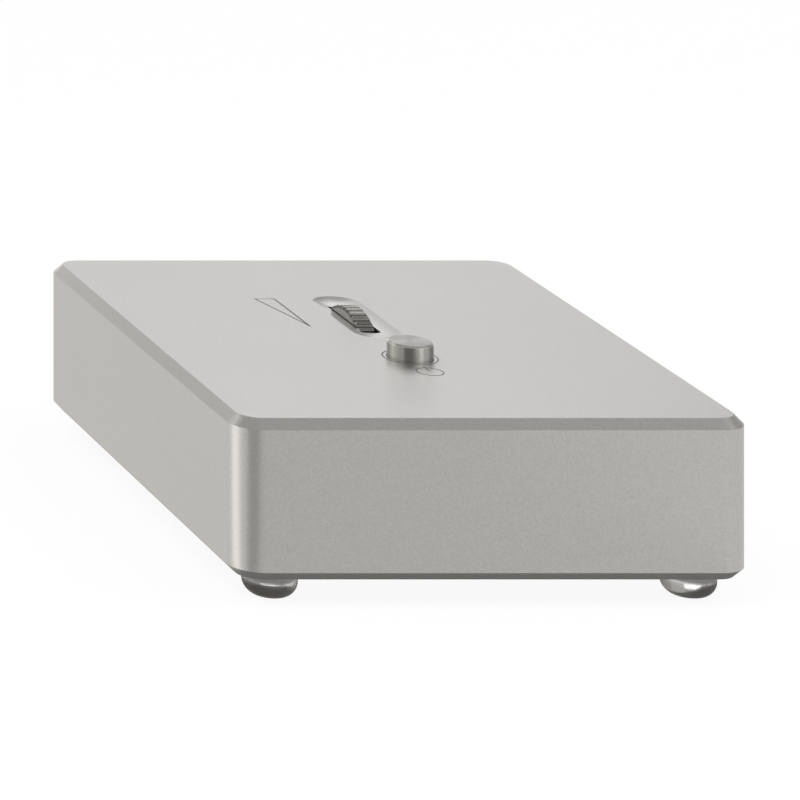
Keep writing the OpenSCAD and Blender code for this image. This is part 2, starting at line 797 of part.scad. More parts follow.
module switch_body() {
    well_w = plunger_w + 2 * run_gap;
    well_depth = plunger_in + button_travel + stop_gap;
    color("#5b6068") place() translate([0, button_y, 0]) difference() {
        translate([-switch_w / 2, -switch_w / 2, board_z1]) cube([switch_w, switch_w, switch_h]);
        translate([-well_w / 2, -well_w / 2, switch_z1 - well_depth])
            cube([well_w, well_w, well_depth + eps]);
    }
}

// ---- signal sockets ----

// Moulded housing of a pair, standing on the board behind the panel
module pair_housing(side) {
    color(black) place() difference() {
        translate([side * pair_x - pair_w / 2, panel_y - jack_depth, board_z1])
            cube([pair_w, jack_depth, housing_h]);
        bar_y(side * pair_x, jack_z + panel_screw_up, case_d - panel_screw_l - stop_gap,
            panel_y + eps, panel_screw_d + 2 * push_gap);
    }
}

module jack_ring(x, tint) {
    color(tint) place()
        tube_y(x, jack_z, panel_y, case_d + ring_h, jack_d + 2 * ring_w, shank_d + 2 * push_gap);
}

// Shell with a thicker foot up to the ring's face and a lip chamfered at its mouth
module jack_shell(x) {
    lip = jack_wall / 2;
    color(gold) place() difference() {
        union() {
            bar_y(x, jack_z, panel_y, case_d + jack_reach, jack_d);
            bar_y(x, jack_z, panel_y, case_d + ring_h, shank_d);
        }
        bar_y(x, jack_z, panel_y - eps, case_d + jack_reach + eps, jack_d - 2 * jack_wall);
        translate([x, case_d + jack_reach, jack_z]) rotate([-90, 0, 0]) difference() {
            translate([0, 0, -lip]) cylinder(d = jack_d + 2 * lip, h = 2 * lip);
            translate([0, 0, -lip - eps])
                cylinder(d1 = jack_d + 2 * eps, d2 = jack_d - 2 * lip, h = lip + 2 * eps);
        }
    }
}

module jack_core(x) {
    color("#e8e6df") place()
        tube_y(x, jack_z, panel_y, case_d + jack_reach - core_back,
            jack_d - 2 * jack_wall - 2 * push_gap, contact_bore + 2 * contact_wall + 2 * push_gap);
}

module jack_contact(x) {
    color(gold) place()
        tube_y(x, jack_z, panel_y, case_d + jack_reach - core_back - contact_back,
            contact_bore + 2 * contact_wall, contact_bore);
}

// ---- power and headphone sockets ----

module end_block(x) {
    translate([x - end_w / 2, panel_y - end_depth, board_z1])
        cube([end_w, end_depth, end_up + end_over]);
}

module power_socket() {
    color(black) place() difference() {
        union() {
            end_block(-end_x);
            bar_y(-end_x, end_z, panel_y - eps, case_d, power_mouth_d);
        }
        bar_y(-end_x, end_z, case_d - power_depth, case_d + eps, power_bore);
    }
}

module power_pin() {
    color(steel) place()
        bar_y(-end_x, end_z, case_d - power_depth, case_d - power_pin_back, power_pin_d);
}

module headphone_socket() {
    mouth = case_d + phone_reach;
    color(black) place() difference() {
        union() {
            end_block(end_x);
            bar_y(end_x, end_z, panel_y - eps, mouth, phone_bushing_d);
        }
        bar_y(end_x, end_z, mouth - phone_depth, mouth + eps, phone_bore);
    }
}

module headphone_nut() {
    color(steel) place() difference() {
        translate([end_x, case_d, end_z]) rotate([-90, 0, 0])
            grooved_disc(phone_nut_d / 2, phone_nut_h, nut_c, phone_nut_grooves, nut_cut_r, nut_cut_r);
        bar_y(end_x, end_z, case_d - eps, case_d + phone_nut_h + eps, phone_bushing_d + 2 * push_gap);
    }
}

// ---- ground post ----

module ground_post() {
    color(gold) place() {
        bar_y(0, jack_z, panel_y - collar_t, stud_end, stud_d);
        bar_y(0, jack_z, panel_y - collar_t, panel_y, collar_d);
        bar_y(0, jack_z, case_d, washer_y, collar_d);
    }
}

module ground_washer() {
    color(gold) place() tube_y(0, jack_z, washer_y, nut_y, washer_d, stud_d + 2 * run_gap);
}

module ground_nut() {
    color(gold) place() difference() {
        translate([0, nut_y, jack_z]) rotate([-90, 0, 0])
            grooved_disc(nut_d / 2, nut_l, nut_c, nut_grooves, nut_cut_r, nut_cut_r);
        bar_y(0, jack_z, nut_y - eps, nut_y + nut_l + eps, stud_d + 2 * run_gap);
    }
}

case_shell();
base_plate();
rear_panel();
base_screws();
panel_screws();
foot(-1, false);  // foot_front_left
foot(1, false);  // foot_front_right
foot(-1, true);  // foot_rear_left
foot(1, true);  // foot_rear_right
circuit_board();
board_standoffs();
board_screws();
volume_wheel();
wheel_set_screw();
pot_shaft();
pot_body();
power_button();
switch_plunger();
switch_body();
pair_housing(-1);  // input_housing
pair_housing(1);  // output_housing
jack_ring(-jack_x_in, "#e4e4e0");  // ring_input_left
jack_ring(-jack_x_out, "#a3241f");  // ring_input_right
jack_ring(jack_x_out, "#e4e4e0");  // ring_output_left
jack_ring(jack_x_in, "#a3241f");  // ring_output_right
jack_shell(-jack_x_in);  // shell_input_left
jack_shell(-jack_x_out);  // shell_input_right
jack_shell(jack_x_out);  // shell_output_left
jack_shell(jack_x_in);  // shell_output_right
jack_core(-jack_x_in);  // core_input_left
jack_core(-jack_x_out);  // core_input_right
jack_core(jack_x_out);  // core_output_left
jack_core(jack_x_in);  // core_output_right
jack_contact(-jack_x_in);  // contact_input_left
jack_contact(-jack_x_out);  // contact_input_right
jack_contact(jack_x_out);  // contact_output_left
jack_contact(jack_x_in);  // contact_output_right
power_socket();
power_pin();
headphone_socket();
headphone_nut();
ground_post();
ground_washer();
ground_nut();
electrolytic_capacitors();
film_capacitors();
amplifier_chips();
chip_resistors();
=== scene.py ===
import json
import math

import bpy
from mathutils import Matrix, Vector

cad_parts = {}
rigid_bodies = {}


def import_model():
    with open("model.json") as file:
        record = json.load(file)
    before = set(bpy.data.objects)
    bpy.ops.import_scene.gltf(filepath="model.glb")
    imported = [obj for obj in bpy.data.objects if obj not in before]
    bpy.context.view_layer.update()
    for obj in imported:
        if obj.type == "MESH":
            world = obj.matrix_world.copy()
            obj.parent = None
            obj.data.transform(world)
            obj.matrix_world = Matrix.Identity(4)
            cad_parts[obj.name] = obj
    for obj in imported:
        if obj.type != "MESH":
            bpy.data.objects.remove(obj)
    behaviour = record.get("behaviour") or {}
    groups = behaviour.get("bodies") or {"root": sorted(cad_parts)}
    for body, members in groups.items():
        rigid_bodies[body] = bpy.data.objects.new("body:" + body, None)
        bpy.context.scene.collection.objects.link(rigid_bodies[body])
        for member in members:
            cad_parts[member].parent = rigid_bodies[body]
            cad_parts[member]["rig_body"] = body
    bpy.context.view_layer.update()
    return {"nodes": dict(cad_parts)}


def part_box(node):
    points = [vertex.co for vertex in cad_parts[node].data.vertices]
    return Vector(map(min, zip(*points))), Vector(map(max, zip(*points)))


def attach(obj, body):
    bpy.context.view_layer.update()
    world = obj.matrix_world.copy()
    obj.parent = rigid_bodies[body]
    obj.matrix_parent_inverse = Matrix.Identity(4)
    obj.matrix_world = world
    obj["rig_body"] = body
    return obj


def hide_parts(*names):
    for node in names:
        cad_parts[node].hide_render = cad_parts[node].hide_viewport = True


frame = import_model()
nodes = frame["nodes"]
MM = 0.001
bpy.context.scene.view_settings.view_transform = "Standard"
bpy.ops.object.select_all(action="DESELECT")

# --- Camera -------------------------------------------------------------------
# The photograph's picture plane is parallel to the front face, so the front's
# edges are level and upright while the object lies far right of the lens's axis.
# The sheared parent turns the viewing axis to the object and leaves that plane.
eye = Vector((-387.73, -1008.77, 324.60)) * MM
picture_px = 800
focal_px = 4909.26
vanishing_px = Vector((-1515.4, -1075.2))
off_axis = Vector((picture_px / 2 - vanishing_px.x, focal_px, vanishing_px.y - picture_px / 2))
view_axis = off_axis.normalized()

camera_data = bpy.data.cameras.new("camera")
camera_data.sensor_width = 36
camera_data.lens = off_axis.length / picture_px * camera_data.sensor_width
camera_data.clip_end = 20
camera = bpy.data.objects.new("camera", camera_data)
tripod = bpy.data.objects.new("tripod", None)
for thing in (tripod, camera):
    bpy.context.scene.collection.objects.link(thing)
camera.parent = tripod
sheared = Matrix.Identity(4)
for row in range(3):
    sheared[row][0] = (1, 0, 0)[row]
    sheared[row][1] = (0, 0, 1)[row]
    sheared[row][2] = -view_axis[row]
    sheared[row][3] = eye[row]
camera.matrix_parent_inverse = sheared
bpy.context.scene.camera = camera


# --- Case shell ---------------------------------------------------------------
# One block of aluminium, milled hollow from below and cut from above for the
# finger dish, the wheel's slot and the button's hole. It is blasted with fine
# beads, most on its flat top, and clear anodised, and its edges are a little blunt.
class Signal:
    """A number, colour or vector on its way through a material."""

    def __init__(self, tree, socket):
        self.tree = tree
        self.socket = socket

    def node(self, kind, settings, inputs, output=0):
        made = self.tree.nodes.new(kind)
        for name, value in settings.items():
            setattr(made, name, value)
        for name, value in inputs.items():
            if isinstance(value, Signal):
                self.tree.links.new(value.socket, made.inputs[name])
            else:
                made.inputs[name].default_value = value
        return Signal(self.tree, made.outputs[output])

    def math(self, operation, first, second=0.0):
        return self.node("ShaderNodeMath", {"operation": operation}, {0: first, 1: second})

    def __add__(self, other):
        return self.math("ADD", self, other)

    def __sub__(self, other):
        return self.math("SUBTRACT", self, other)

    def __rsub__(self, other):
        return self.math("SUBTRACT", other, self)

    def __mul__(self, other):
        return self.math("MULTIPLY", self, other)

    def __pow__(self, other):
        return self.math("POWER", self, other)

    def __mod__(self, other):
        return self.math("FLOORED_MODULO", self, other)

    def __abs__(self):
        return self.math("ABSOLUTE", self)

    def __lt__(self, other):
        return self.math("LESS_THAN", self, other)

    def __gt__(self, other):
        return self.math("GREATER_THAN", self, other)

    __radd__ = __add__
    __rmul__ = __mul__


def new_finish(name, constants):
    """A material with these constants on its shader, and its place in millimetres."""
    material = bpy.data.materials.new(name)
    material.use_nodes = True
    tree = material.node_tree
    for socket, value in constants.items():
        tree.nodes["Principled BSDF"].inputs[socket].default_value = value
    metres = Signal(tree, tree.nodes.new("ShaderNodeTexCoord").outputs["Object"])
    to_mm = {0: metres, "Scale": 1 / MM}
    return material, metres.node("ShaderNodeVectorMath", {"operation": "SCALE"}, to_mm)


def feed(material, **signals):
    """Links signals to the shader: base_color feeds Base Color, and so on."""
    tree = material.node_tree
    for name, signal in signals.items():
        socket = tree.nodes["Principled BSDF"].inputs[name.replace("_", " ").title()]
        tree.links.new(signal.socket, socket)


def grain(place, size, detail):
    """Noise from 0 to 1 with lumps of this size in millimetres."""
    inputs = {"Vector": place, "Scale": 1 / size, "Detail": detail}
    return place.node("ShaderNodeTexNoise", {}, inputs)


def ramp(value, low, high):
    """0 where the value is below low, 1 where it is above high."""
    smooth = {"interpolation_type": "SMOOTHSTEP"}
    return value.node("ShaderNodeMapRange", smooth, {0: value, 1: low, 2: high})


def tint(mask, low, high):
    """The colour low where the mask is 0, and high where it is 1."""
    ends = [colour if isinstance(colour, Signal) else (*colour, 1) for colour in (low, high)]
    return mask.node("ShaderNodeMix", {"data_type": "RGBA"}, {0: mask, 6: ends[0], 7: ends[1]}, 2)


def along(place, axis):
    """One coordinate of a place in millimetres: 0 is x, 1 is y and 2 is z."""
    return place.node("ShaderNodeSeparateXYZ", {}, {0: place}, axis)


def relief(height, depth):
    """The normal of a surface whose height map is this many millimetres deep."""
    return height.node("ShaderNodeBump", {}, {"Distance": depth * MM, "Height": height})


def pick(piece):
    """Makes this the only selected object, and the active one."""
    bpy.ops.object.select_all(action="DESELECT")
    piece.select_set(True)
    bpy.context.view_layer.objects.active = piece


def worked_copy(name, edge, fold=30):
    """A copy of a CAD node as the maker leaves it: one skin with blunt edges."""
    piece = bpy.data.objects.new("worked_" + name, nodes[name].data.copy())
    bpy.context.scene.collection.objects.link(piece)
    pick(piece)
    bpy.ops.object.mode_set(mode="EDIT")
    bpy.ops.mesh.select_all(action="SELECT")
    bpy.ops.mesh.remove_doubles(threshold=0.001 * MM)
    bpy.ops.mesh.customdata_custom_splitnormals_clear()
    bpy.ops.mesh.dissolve_limited(angle_limit=math.radians(0.2))
    bpy.ops.object.mode_set(mode="OBJECT")
    bpy.ops.object.shade_smooth_by_angle(angle=math.radians(fold))
    blunt = piece.modifiers.new("blunt", "BEVEL")
    blunt.width = edge * MM
    blunt.segments = 2
    blunt.limit_method = "ANGLE"
    blunt.angle_limit = math.radians(fold)
    blunt.harden_normals = True
    bpy.ops.object.modifier_apply(modifier="blunt")
    piece.data.materials.clear()
    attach(piece, nodes[name]["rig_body"])
    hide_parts(name)
    return piece


blasted, place = new_finish("blasted_aluminium", {"Metallic": 1.0})
beads = grain(place, 0.37, 2)
clouds = grain(place, 25, 2)
mottle = ramp(0.9 * beads + 0.1 * clouds, 0.3, 0.7)
flat_top = ramp(along(place, 2), 36.0, 36.15)
feed(
    blasted,
    base_color=tint(mottle, (0.53, 0.523, 0.508), (0.59, 0.583, 0.568)),
    roughness=0.29 + 0.06 * beads + 0.09 * flat_top,
    normal=relief(beads, 0.012),
)
case = worked_copy("case_shell", edge=0.12, fold=20)
case.data.materials.append(blasted)


# --- Printed signs ------------------------------------------------------------
# Fine dark grey lines, screen printed on the anodised top: a long wedge beside
# the wheel, a ring round the button, and a power sign in front of it.
top_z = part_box("case_shell")[1].z
button_low, button_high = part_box("power_button")
button_axis = (button_low + button_high) / 2
line_w = 0.26
ink_t = 0.02


def print_sign(sign):
    """Gives a flat outline the thickness of a coat of ink and its colour."""
    pick(sign)
    coat = sign.modifiers.new("coat", "SOLIDIFY")
    coat.thickness = ink_t * MM
    coat.offset = 1
    bpy.ops.object.modifier_apply(modifier="coat")
    bpy.ops.object.transform_apply(location=True, rotation=True, scale=True)
    sign.data.materials.append(ink)
    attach(sign, "case")


def flat_ring(name, x, y, radius):
    """An outline of the line's width on the top plate, in edit mode."""
    bpy.ops.mesh.primitive_circle_add(
        vertices=120, radius=radius * MM, fill_type="NGON", location=(x, y, top_z)
    )
    ring = bpy.context.object
    ring.name = name
    bpy.ops.object.mode_set(mode="EDIT")
    bpy.ops.mesh.inset(thickness=line_w * MM)
    bpy.ops.mesh.delete(type="FACE")
    return ring


ink, place = new_finish("grey_ink", {"Roughness": 0.55})
specks = grain(place, 0.15, 2)
feed(
    ink,
    base_color=tint(specks, (0.07, 0.07, 0.066), (0.13, 0.128, 0.122)),
    normal=relief(specks, 0.004),
)

button_ring_r = 5.4
button_ring = flat_ring("button_ring_print", 0, button_axis.y, button_ring_r)
bpy.ops.object.mode_set(mode="OBJECT")
print_sign(button_ring)

sign_y = button_axis.y / MM - 10.04
circle_x, circle_r = 0.03, 2.7
gap_from, gap_to = math.radians(-4), math.radians(19)
power_circle = flat_ring("power_circle_print", circle_x * MM, sign_y * MM, circle_r)
bpy.ops.mesh.select_all(action="DESELECT")
bpy.ops.object.mode_set(mode="OBJECT")
for face in power_circle.data.polygons:
    face.select = gap_from < math.atan2(face.center.x, face.center.y) < gap_to
bpy.ops.object.mode_set(mode="EDIT")
bpy.ops.mesh.delete(type="FACE")
bpy.ops.object.mode_set(mode="OBJECT")
print_sign(power_circle)

bar_x, bar_y, bar_l = 0.1, sign_y + 2.2, 2.9
bpy.ops.mesh.primitive_plane_add(size=MM, location=(bar_x * MM, bar_y * MM, top_z))
power_bar = bpy.context.object
power_bar.name = "power_bar_print"
bpy.ops.object.mode_set(mode="EDIT")
bpy.ops.transform.resize(value=(line_w + 0.02, bar_l, 1))
bpy.ops.object.mode_set(mode="OBJECT")
print_sign(power_bar)

wedge_corners = [(-16.3, 21.8), (-12.0, 21.8), (-11.95, 0.6)]
bpy.ops.mesh.primitive_circle_add(vertices=3, radius=MM, fill_type="NGON", location=(0, 0, top_z))
volume_wedge = bpy.context.object
volume_wedge.name = "volume_wedge_print"
for corner, (x, y) in zip(volume_wedge.data.vertices, wedge_corners):
    corner.co = (x * MM, y * MM, 0)
bpy.ops.object.mode_set(mode="EDIT")
bpy.ops.mesh.normals_make_consistent(inside=False)
bpy.ops.mesh.inset(thickness=line_w * MM)
bpy.ops.mesh.delete(type="FACE")
bpy.ops.object.mode_set(mode="OBJECT")
print_sign(volume_wedge)


# --- Base plate and rear panel ------------------------------------------------
# Aluminium sheet, sawn to shape and anodised with the case. The plate lies in
# the rim under the case, and the panel stands in the window of its rear wall.
def stretched(place, x, y, z):
    """A place with its coordinates multiplied: grain runs along the least of them."""
    return place.node("ShaderNodeVectorMath", {"operation": "MULTIPLY"}, {0: place, 1: (x, y, z)})


sheet, place = new_finish("anodised_sheet", {"Metallic": 1.0})
rolled = grain(stretched(place, 0.06, 1, 1), 0.3, 3)
beads = grain(place, 0.25, 2)
feed(
    sheet,
    base_color=tint(ramp(rolled, 0.35, 0.65), (0.40, 0.395, 0.385), (0.47, 0.465, 0.455)),
    roughness=0.38 + 0.08 * beads,
    normal=relief(0.5 * rolled + 0.5 * beads, 0.008),
)
for name in ("base_plate", "rear_panel"):
    plate = worked_copy(name, edge=0.12)
    plate.data.materials.append(sheet)


# --- Feet ---------------------------------------------------------------------
# Four clear polyurethane bumpers, round discs with a well rounded lower edge, stuck to
# the underside. The face is slightly hazy, and the upper rim is rougher and scatters a little
# light. Painted light: the lower part is tinted darker and the upper rim lighter, and a thin
# painted contact shadow darkens the top where the foot meets the case.
clear, place = new_finish(
    "clear_bumper", {"Transmission Weight": 1.0, "IOR": 1.49, "Coat Weight": 0.3}
)
haze = grain(place, 2.5, 3)
# Rougher upper rim, and the mask of the painted light band: lighter colour above, darker below
rim = ramp(along(place, 2), 2.6, 3.6)
# Painted contact shadow: a dark band at the top of the foot, under the case
painted_contact_shadow = ramp(along(place, 2), 4.45, 4.7)
painted_band_colour = tint(rim, (0.62, 0.61, 0.58), (0.97, 0.965, 0.95))
feed(
    clear,
    base_color=tint(painted_contact_shadow, painted_band_colour, (0.30, 0.295, 0.28)),
    roughness=0.12 + 0.10 * ramp(haze, 0.45, 0.75) + 0.3 * rim,
    normal=relief(haze, 0.05),
)
glue_gap = 0.04
for name in ("foot_front_left", "foot_front_right", "foot_rear_left", "foot_rear_right"):
    foot = worked_copy(name, edge=0.2, fold=50)
    bpy.ops.object.mode_set(mode="EDIT")
    bpy.ops.mesh.select_all(action="DESELECT")
    bpy.ops.object.mode_set(mode="OBJECT")
    foot_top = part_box(name)[1].z
    for corner in foot.data.vertices:
        corner.select = corner.co.z > foot_top - glue_gap * MM
    bpy.ops.object.mode_set(mode="EDIT")
    bpy.ops.transform.translate(value=(0, 0, -glue_gap * MM))
    bpy.ops.object.mode_set(mode="OBJECT")
    foot.data.materials.append(clear)


# --- Screws and standoffs -----------------------------------------------------
# Zinc plated steel screws hold the base plate and the board. The two short ones
# of the rear panel are blackened, and so is the set screw in the wheel's hub.
zinc, place = new_finish("zinc_plated_steel", {"Metallic": 1.0})
swirl = grain(place, 0.4, 4)
feed(
    zinc,
    base_color=tint(swirl, (0.52, 0.51, 0.49), (0.68, 0.67, 0.64)),
    roughness=0.22 + 0.16 * swirl,
    normal=relief(swirl, 0.01),
)
blackened, place = new_finish("blackened_steel", {"Metallic": 0.6})
swirl = grain(place, 0.3, 4)
feed(
    blackened,
    base_color=tint(swirl, (0.035, 0.035, 0.038), (0.07, 0.07, 0.075)),
    roughness=0.34 + 0.12 * swirl,
    normal=relief(swirl, 0.01),
)
for name in ("base_screws", "board_standoffs", "board_screws"):
    screws = worked_copy(name, edge=0.08)
    screws.data.materials.append(zinc)
for name in ("panel_screws", "wheel_set_screw"):
    screws = worked_copy(name, edge=0.08)
    screws.data.materials.append(blackened)


# --- Circuit board and its parts ----------------------------------------------
# A green glass-fibre board on the standoffs, with sleeved electrolytic cans, red
# film capacitors, black amplifier chips and small chip resistors soldered to it.
def dress(name, material):
    """Gives a CAD node that stays as it is a finished material."""
    nodes[name].data.materials.clear()
    nodes[name].data.materials.append(material)


def from_grid(coordinate, first, pitch):
    """Distance from the nearest of a row of parts, with its sign."""
    return (coordinate + (pitch / 2 - first)) % pitch - pitch / 2


solder_mask, place = new_finish("green_solder_mask", {"Coat Weight": 0.4, "Coat Roughness": 0.12})
x, y = along(place, 0), along(place, 1)
runs_x = grain(stretched(place, 0.25, 1, 1), 2.5, 0)
runs_y = grain(stretched(place, 1, 0.25, 1), 2.5, 0)
track_pitch, track_half, track_share = 1.27, 0.2, 0.52
track_x = (abs(from_grid(y, 0, track_pitch)) < track_half) * (runs_x > track_share)
track_y = (abs(from_grid(x, 0, track_pitch)) < track_half) * (runs_y > track_share)
via_pitch, via_square = 5.08, 0.2
via = (from_grid(x, 0, via_pitch) ** 2 + from_grid(y, 0, via_pitch) ** 2) < via_square
tracks = track_x.math("MAXIMUM", track_x, track_y)
masked = tint(tracks, (0.015, 0.085, 0.035), (0.04, 0.19, 0.08))
feed(
    solder_mask,
    base_color=tint(via, masked, (0.55, 0.54, 0.50)),
    roughness=0.35 + 0.1 * grain(place, 1.0, 2),
    normal=relief(tracks, 0.03),
)
dress("circuit_board", solder_mask)

sleeve, place = new_finish("capacitor_sleeve", {})
x, y, z = (along(place, axis) for axis in range(3))
can_low, can_high = (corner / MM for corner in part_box("electrolytic_capacitors"))
can_d, can_pitch = 8, 11
u = from_grid(x, can_low.x + can_d / 2, can_pitch)
v = from_grid(y, can_low.y + can_d / 2, can_pitch)
sleeve_lip, bare_r, stripe_u = 0.35, 3.3, -3.1
bare_top = (z > can_high.z - sleeve_lip) * ((u * u + v * v) < bare_r**2)
stripe = (u < stripe_u) * (1 - bare_top)
shrink = grain(place, 1.5, 2)
wrapped = tint(stripe, (0.012, 0.014, 0.03), (0.45, 0.45, 0.44))
feed(
    sleeve,
    base_color=tint(bare_top, wrapped, (0.6, 0.6, 0.59)),
    roughness=0.3 + 0.1 * shrink,
    metallic=bare_top * 0.9,
    normal=relief(shrink, 0.03),
)
dress("electrolytic_capacitors", sleeve)

film, place = new_finish("film_capacitor_box", {"Coat Weight": 0.1})
flow = grain(place, 0.6, 3)
feed(
    film,
    base_color=tint(flow, (0.30, 0.028, 0.022), (0.40, 0.045, 0.035)),
    roughness=0.38 + 0.15 * flow,
    normal=relief(flow, 0.02),
)
dress("film_capacitors", film)

epoxy, place = new_finish("chip_epoxy", {})
matt = grain(place, 0.08, 2)
feed(
    epoxy,
    base_color=tint(matt, (0.022, 0.022, 0.024), (0.04, 0.04, 0.042)),
    roughness=0.5 + 0.2 * matt,
    normal=relief(matt, 0.01),
)
dress("amplifier_chips", epoxy)

tinned, place = new_finish("tinned_resistor", {})
x = along(place, 0)
chip_half, chip_pitch, body_half = 1.6, 5, 1.15
first_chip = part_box("chip_resistors")[0].x / MM + chip_half
ends = abs(from_grid(x, first_chip, chip_pitch)) > body_half
speck = grain(place, 0.1, 2)
glazed = tint(speck, (0.02, 0.02, 0.022), (0.045, 0.045, 0.05))
feed(
    tinned,
    base_color=tint(ends, glazed, (0.62, 0.61, 0.58)),
    metallic=ends * 1.0,
    roughness=0.3 + 0.15 * speck,
    normal=relief(speck, 0.008),
)
dress("chip_resistors", tinned)


# --- Volume potentiometer -----------------------------------------------------
# A round plated can with a threaded bushing, standing on the board beside the
# wheel. Its ground steel shaft carries the wheel's hub.
drawn, place = new_finish("drawn_can", {"Metallic": 1.0})
pulled = grain(stretched(place, 0.1, 1, 1), 0.25, 3)
feed(
    drawn,
    base_color=tint(pulled, (0.40, 0.40, 0.385), (0.54, 0.54, 0.52)),
    roughness=0.28 + 0.15 * pulled,
    normal=relief(pulled, 0.008),
)
pot = worked_copy("pot_body", edge=0.15)
pot.data.materials.append(drawn)
shaft = worked_copy("pot_shaft", edge=0.25)
shaft.data.materials.append(zinc)


# --- Volume wheel -------------------------------------------------------------
# Turned from steel with a hub in one piece, then cut with round grooves for the
# finger. The flanks show fine turning rings. The toothed rim carries painted shade:
# it is coloured darker than the flanks, darkest low on the teeth and middling on the crests.
wheel_low, wheel_high = (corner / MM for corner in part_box("volume_wheel"))
axle = (wheel_low + wheel_high) / 2


def from_centre(place, centre):
    """A place measured from a centre in millimetres."""
    inputs = {0: place, 1: tuple(centre)}
    return place.node("ShaderNodeVectorMath", {"operation": "SUBTRACT"}, inputs)


def turned_rings(place, centre, axis, pitch):
    """Rings that a lathe tool leaves round an axle, on its faces and its rims."""
    local = from_centre(place, centre)
    across = [along(local, i) for i in range(3) if i != axis]
    radius = (across[0] ** 2 + across[1] ** 2) ** 0.5
    feed_mm = radius + along(local, axis)
    return place.node(
        "ShaderNodeTexNoise",
        {"noise_dimensions": "1D"},
        {"W": feed_mm, "Scale": 1 / pitch, "Detail": 3.0},
    )


wheel_steel, place = new_finish("turned_wheel", {"Metallic": 1.0})
rings = turned_rings(place, axle, 0, 0.16)
spoke = from_centre(place, axle)
radius = (along(spoke, 1) ** 2 + along(spoke, 2) ** 2) ** 0.5
tooth_r, crest_r, flank_r = 13.6, 13.95, 13.35
# Painted shade: low on the teeth the rim gets the darkest colour, the crests a middle one, and
# the flanks the lightest
tooth = ramp(radius, tooth_r, crest_r)
flank = 1 - ramp(radius, flank_r, flank_r + 0.15)
feed(
    wheel_steel,
    base_color=tint(
        tooth + flank,
        tint(rings, (0.13, 0.127, 0.12), (0.17, 0.166, 0.157)),
        tint(flank, (0.29, 0.285, 0.272), tint(rings, (0.46, 0.452, 0.43), (0.58, 0.57, 0.545))),
    ),
    roughness=0.20 + 0.12 * rings,
    normal=relief(rings, 0.006),
)
wheel = worked_copy("volume_wheel", edge=0.05, fold=35)
wheel.data.materials.append(wheel_steel)


# --- Power button and its switch ----------------------------------------------
# A button turned from solid bar with a finer faced end, a flange that keeps it in
# the case and a stem over the plunger of a latching push switch on the board.
button_steel, place = new_finish(
    "turned_button", {"Metallic": 1.0, "Anisotropic": 0.9, "Anisotropic Rotation": 0.25}
)
rings = turned_rings(place, button_axis / MM, 2, 0.12)
end_z, facing_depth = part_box("power_button")[1].z / MM, 0.05
# Painted shade: the end face gets a darker colour than the side, and a higher roughness
end_face = ramp(along(place, 2), end_z - facing_depth, end_z)
feed(
    button_steel,
    base_color=tint(
        end_face,
        tint(rings, (0.51, 0.505, 0.488), (0.60, 0.594, 0.573)),
        tint(rings, (0.41, 0.405, 0.39), (0.46, 0.454, 0.437)),
    ),
    roughness=0.16 + 0.06 * rings + 0.16 * end_face,
    normal=relief(rings, 0.002),
)
button = worked_copy("power_button", edge=0.05)
button.data.materials.append(button_steel)

pale_plastic, place = new_finish("pale_plastic", {})
flow = grain(place, 0.5, 3)
feed(
    pale_plastic,
    base_color=tint(flow, (0.66, 0.655, 0.62), (0.74, 0.735, 0.70)),
    roughness=0.42 + 0.12 * flow,
    normal=relief(flow, 0.01),
)
dress("switch_plunger", pale_plastic)

black_plastic, place = new_finish("black_moulding", {})
texture = grain(place, 0.12, 2)
feed(
    black_plastic,
    base_color=tint(grain(place, 4, 3), (0.022, 0.022, 0.024), (0.036, 0.036, 0.038)),
    roughness=0.42 + 0.14 * texture,
    normal=relief(texture, 0.015),
)
dress("switch_body", black_plastic)


# --- Signal sockets -----------------------------------------------------------
# Two moulded housings, each with a pair of phono sockets: a gold plated shell in
# a white or red ring, and an insulating core round the centre contact.
gold, place = new_finish("gold_plate", {"Metallic": 1.0})
swirl = grain(place, 0.5, 3)
feed(
    gold,
    base_color=tint(swirl, (0.72, 0.50, 0.19), (0.80, 0.58, 0.25)),
    roughness=0.14 + 0.10 * swirl,
    normal=relief(swirl, 0.006),
)
white_ring, place = new_finish("white_ring", {"Coat Weight": 0.2})
flow = grain(place, 0.5, 3)
feed(
    white_ring,
    base_color=tint(flow, (0.74, 0.74, 0.72), (0.80, 0.80, 0.78)),
    roughness=0.28 + 0.1 * flow,
    normal=relief(flow, 0.008),
)
red_ring, place = new_finish("red_ring", {"Coat Weight": 0.2})
flow = grain(place, 0.5, 3)
feed(
    red_ring,
    base_color=tint(flow, (0.40, 0.018, 0.014), (0.48, 0.028, 0.022)),
    roughness=0.28 + 0.1 * flow,
    normal=relief(flow, 0.008),
)
for name in ("input_housing", "output_housing"):
    dress(name, black_plastic)
for socket in ("input_left", "input_right", "output_left", "output_right"):
    ring = worked_copy("ring_" + socket, edge=0.15)
    ring.data.materials.append(white_ring if socket.endswith("left") else red_ring)
    shell = worked_copy("shell_" + socket, edge=0.06)
    shell.data.materials.append(gold)
    core = worked_copy("core_" + socket, edge=0.1)
    core.data.materials.append(pale_plastic)
    contact = worked_copy("contact_" + socket, edge=0.08)
    contact.data.materials.append(gold)


# --- Power and headphone sockets ----------------------------------------------
# A barrel power inlet with its steel centre pin, and a 3.5 mm headphone socket
# whose bushing is held by a thin plated nut with grooves for a key.
inlet = worked_copy("power_socket", edge=0.15)
inlet.data.materials.append(black_plastic)
pin = worked_copy("power_pin", edge=0.3)
pin.data.materials.append(zinc)
phones = worked_copy("headphone_socket", edge=0.15)
phones.data.materials.append(black_plastic)
nut = worked_copy("headphone_nut", edge=0.06)
nut.data.materials.append(zinc)


# --- Ground post --------------------------------------------------------------
# A gold plated stud fixed in the panel between two collars, with a washer and a
# grooved thumb nut that clamp the fork of the turntable's ground wire.
for name, edge in (("ground_post", 0.12), ("ground_washer", 0.1), ("ground_nut", 0.06)):
    brass = worked_copy(name, edge)
    brass.data.materials.append(gold)


